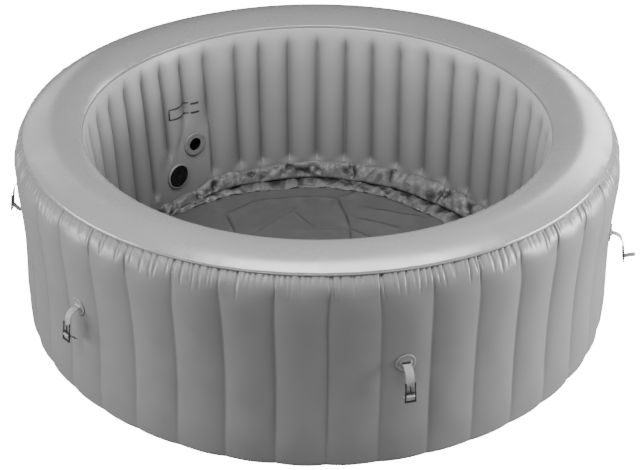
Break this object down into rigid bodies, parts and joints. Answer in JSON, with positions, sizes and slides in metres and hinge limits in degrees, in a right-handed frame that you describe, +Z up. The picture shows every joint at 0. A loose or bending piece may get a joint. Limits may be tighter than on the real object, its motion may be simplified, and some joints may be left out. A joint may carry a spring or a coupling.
{
  "type": "inflatable hot tub",
  "caption": "Round inflatable hot tub: an air-filled ring of upright wall chambers round a water bowl, with strap buckles, water and air fittings, an air valve and a drain.",
  "frame": {"origin": "centre of the base, on the ground", "axes": "+Z up; -Y the front; the water and air spigots are at the back left"},
  "size_m": [2.1844, 2.0916, 0.7001],
  "materials": {
    "wall_sheet": "satin",
    "rim_sheet": "satin",
    "base_sheet": "matte",
    "floor_liner": "satin",
    "duct_sheet": "satin",
    "gasket_rubber": "matte",
    "spring_wire": "satin",
    "webbing": "matte",
    "gray_plastic": "satin",
    "pipe_plastic": "satin",
    "black_plastic": "gloss"
  },
  "bodies": {
    "tub": {"air_riser": "pipe_plastic", "air_spigot": "gray_plastic", "base_sheet": "base_sheet", "base_weld": "wall_sheet", "bubble_duct": "duct_sheet", "drain_flange": "gray_plastic", "drain_gasket": "gasket_rubber", "drain_pipe": "pipe_plastic", "floor_liner": "floor_liner", "inner_wall": "wall_sheet", "outer_wall": "wall_sheet", "return_flange": "gray_plastic", "return_gasket": "gasket_rubber", "return_outer_gasket": "gasket_rubber", "return_sleeve": "wall_sheet", "return_spigot": "gray_plastic", "rim_inner_weld": "wall_sheet", "rim_outer_weld": "wall_sheet", "strap_patches": "wall_sheet", "suction_flange": "gray_plastic", "suction_gasket": "gasket_rubber", "suction_outer_gasket": "gasket_rubber", "suction_sleeve": "wall_sheet", "suction_spigot": "gray_plastic", "top_rim": "rim_sheet", "valve_base": "gray_plastic", "valve_body": "black_plastic", "valve_spring": "spring_wire", "wall_baffles": "wall_sheet"},
    "strap_1": {"strap_1": "webbing"},
    "buckle_1": {"buckle_1": "black_plastic"},
    "strap_2": {"strap_2": "webbing"},
    "buckle_2": {"buckle_2": "black_plastic"},
    "strap_3": {"strap_3": "webbing"},
    "buckle_3": {"buckle_3": "black_plastic"},
    "strap_4": {"strap_4": "webbing"},
    "buckle_4": {"buckle_4": "black_plastic"},
    "strap_5": {"strap_5": "webbing"},
    "buckle_5": {"buckle_5": "black_plastic"},
    "strap_6": {"strap_6": "webbing"},
    "buckle_6": {"buckle_6": "black_plastic"},
    "suction_strainer": {"suction_strainer": "black_plastic"},
    "valve_plunger": {"valve_plunger": "black_plastic"},
    "valve_cap": {"valve_cap": "black_plastic"},
    "drain_cap": {"drain_cap": "black_plastic"},
    "drain_stopper": {"drain_stopper": "black_plastic"}
  },
  "joints": [
    {"name": "strap_1_swing", "type": "hinge", "parent": "tub", "child": "strap_1", "pos_m": [-0.72876, -0.71865, 0.369], "axis": [-0.7022, 0.712, 0], "range_deg": [0, 70]},
    {"name": "buckle_1_tilt", "type": "hinge", "parent": "strap_1", "child": "buckle_1", "pos_m": [-0.76296, -0.75238, 0.28892], "axis": [0.7022, -0.712, 0], "range_deg": [0, 40]},
    {"name": "strap_2_swing", "type": "hinge", "parent": "tub", "child": "strap_2", "pos_m": [0.25799, -0.99045, 0.369], "axis": [-0.9677, -0.2521, 0], "range_deg": [0, 70]},
    {"name": "buckle_2_tilt", "type": "hinge", "parent": "strap_2", "child": "buckle_2", "pos_m": [0.2701, -1.03693, 0.28892], "axis": [0.9677, 0.2521, 0], "range_deg": [0, 40]},
    {"name": "strap_3_swing", "type": "hinge", "parent": "tub", "child": "strap_3", "pos_m": [0.98675, -0.2718, 0.369], "axis": [-0.2656, -0.9641, 0], "range_deg": [0, 70]},
    {"name": "buckle_3_tilt", "type": "hinge", "parent": "strap_3", "child": "buckle_3", "pos_m": [1.03306, -0.28455, 0.28892], "axis": [0.2656, 0.9641, 0], "range_deg": [0, 40]},
    {"name": "strap_4_swing", "type": "hinge", "parent": "tub", "child": "strap_4", "pos_m": [0.72876, 0.71865, 0.369], "axis": [0.7022, -0.712, 0], "range_deg": [0, 70]},
    {"name": "buckle_4_tilt", "type": "hinge", "parent": "strap_4", "child": "buckle_4", "pos_m": [0.76296, 0.75238, 0.28892], "axis": [-0.7022, 0.712, 0], "range_deg": [0, 40]},
    {"name": "strap_5_swing", "type": "hinge", "parent": "tub", "child": "strap_5", "pos_m": [-0.25799, 0.99045, 0.369], "axis": [0.9677, 0.2521, 0], "range_deg": [0, 70]},
    {"name": "buckle_5_tilt", "type": "hinge", "parent": "strap_5", "child": "buckle_5", "pos_m": [-0.2701, 1.03693, 0.28892], "axis": [-0.9677, -0.2521, 0], "range_deg": [0, 40]},
    {"name": "strap_6_swing", "type": "hinge", "parent": "tub", "child": "strap_6", "pos_m": [-1.02101, 0.0714, 0.369], "axis": [0.0698, 0.9976, 0], "range_deg": [0, 70]},
    {"name": "buckle_6_tilt", "type": "hinge", "parent": "strap_6", "child": "buckle_6", "pos_m": [-1.10375, 0.07718, 0.26356], "axis": [-0.0698, -0.9976, 0], "range_deg": [0, 40]},
    {"name": "suction_strainer_turn", "type": "hinge", "parent": "tub", "child": "suction_strainer", "pos_m": [-0.54852, 0.5115, 0.136], "axis": [-0.7314, 0.682, 0], "range_deg": [0, 60]},
    {"name": "valve_plunger_press", "type": "slide", "parent": "tub", "child": "valve_plunger", "axis": [0.9051, -0.403, -0.1353], "range_m": [0, 0.005], "stiffness_N_per_m": 700, "springref_m": -0.003, "deforming": ["valve_spring"]},
    {"name": "valve_cap_pull", "type": "slide", "parent": "tub", "child": "valve_cap", "axis": [-0.9051, 0.403, 0.1353], "range_m": [0, 0.06]},
    {"name": "drain_cap_pull", "type": "slide", "parent": "tub", "child": "drain_cap", "axis": [0.9461, 0.3239, 0], "range_m": [0, 0.06]},
    {"name": "drain_stopper_pull", "type": "slide", "parent": "tub", "child": "drain_stopper", "axis": [-0.9461, -0.3239, 0], "range_m": [0, 0.05]}
  ]
}
